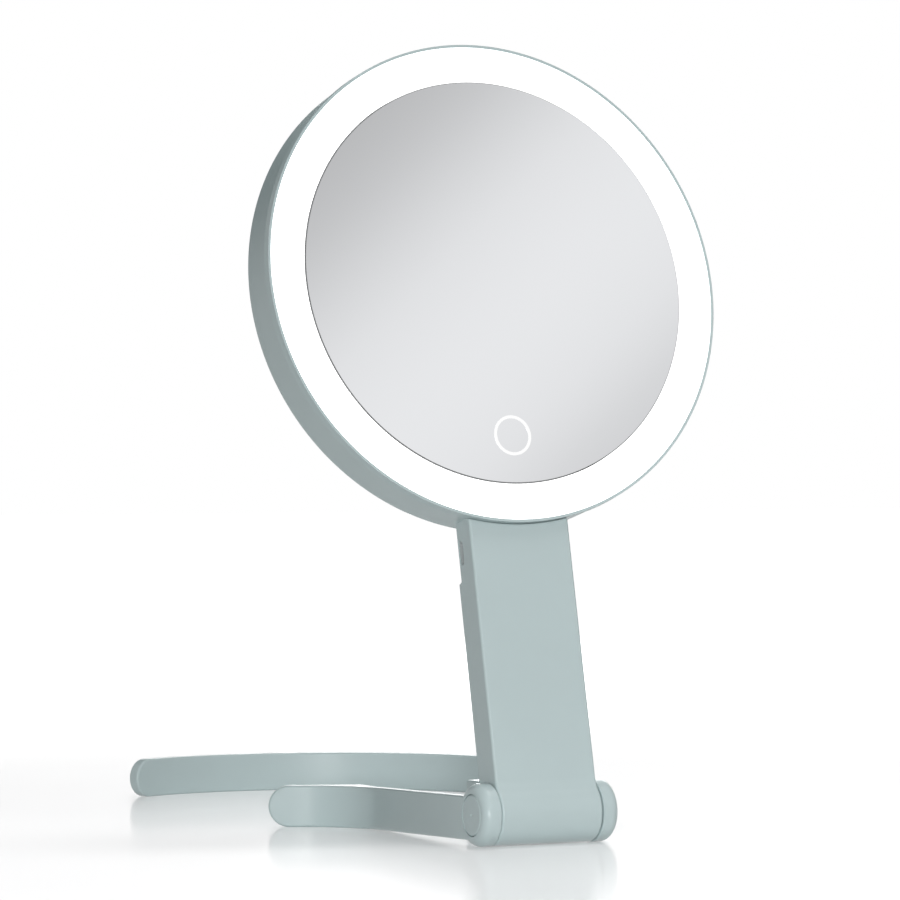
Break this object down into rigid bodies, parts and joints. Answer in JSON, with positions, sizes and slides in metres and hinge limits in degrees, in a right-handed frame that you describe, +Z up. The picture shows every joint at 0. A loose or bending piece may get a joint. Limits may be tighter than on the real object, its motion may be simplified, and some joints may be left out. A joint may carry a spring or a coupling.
{
  "type": "lighted hand mirror",
  "caption": "Round lighted mirror on a flat handle, hinged to a C-shaped ring stand that folds round the head.",
  "frame": {"origin": "on the table, below the middle of the standing mirror's box", "axes": "+Z up, -Y the way the mirror faces, +X to the right as one faces the mirror; the ring lies behind, towards +Y"},
  "size_m": [0.1874, 0.3023, 0.2901],
  "materials": {
    "sage_plastic": "satin moulded plastic",
    "opal_light": "opal diffuser, lit",
    "mirror": "polished silvered glass",
    "white_print": "white backlit print",
    "white_plastic": "plain moulded",
    "black_plastic": "plain moulded",
    "steel": "plain turned",
    "bronze": "sintered",
    "foam": "foam tape",
    "copper_foil": "copper on film",
    "board_green": "solder mask",
    "battery_foil": "laminated foil",
    "lamp_yellow": "phosphor lens",
    "wire_red": "insulated wire"
  },
  "bodies": {
    "stand": {"left_leg": "sage_plastic", "right_leg": "sage_plastic", "left_pivot_cap": "sage_plastic", "right_pivot_cap": "sage_plastic", "hinge_shaft": "steel", "thrust_washers": "white_plastic", "end_washers": "steel", "end_screws": "steel"},
    "mirror": {"rear_housing": "sage_plastic", "front_bezel": "sage_plastic", "diffuser_ring": "opal_light", "mirror_glass": "mirror", "touch_ring": "white_print", "handle_back_cover": "sage_plastic", "usb_port": "steel", "usb_tongue": "black_plastic", "mirror_carrier": "white_plastic", "mirror_tape": "foam", "carrier_screws": "steel", "reflector_tray": "white_plastic", "led_board": "white_plastic", "leds": "lamp_yellow", "led_leads": "wire_red", "touch_sensor": "copper_foil", "touch_ribbon": "copper_foil", "control_board": "board_green", "board_chips": "black_plastic", "battery_cell": "battery_foil", "battery_pad": "foam", "battery_plug": "white_plastic", "battery_leads": "wire_red", "cover_screws": "steel", "hinge_bushes": "bronze", "friction_clips": "steel"}
  },
  "joints": [
    {"name": "mirror_tilt", "type": "hinge", "parent": "stand", "child": "mirror", "pos_m": [-0.00375, -0.13992, 0.01125], "axis": [1, 0, 0], "range_deg": [-77.6, 42.4]}
  ]
}
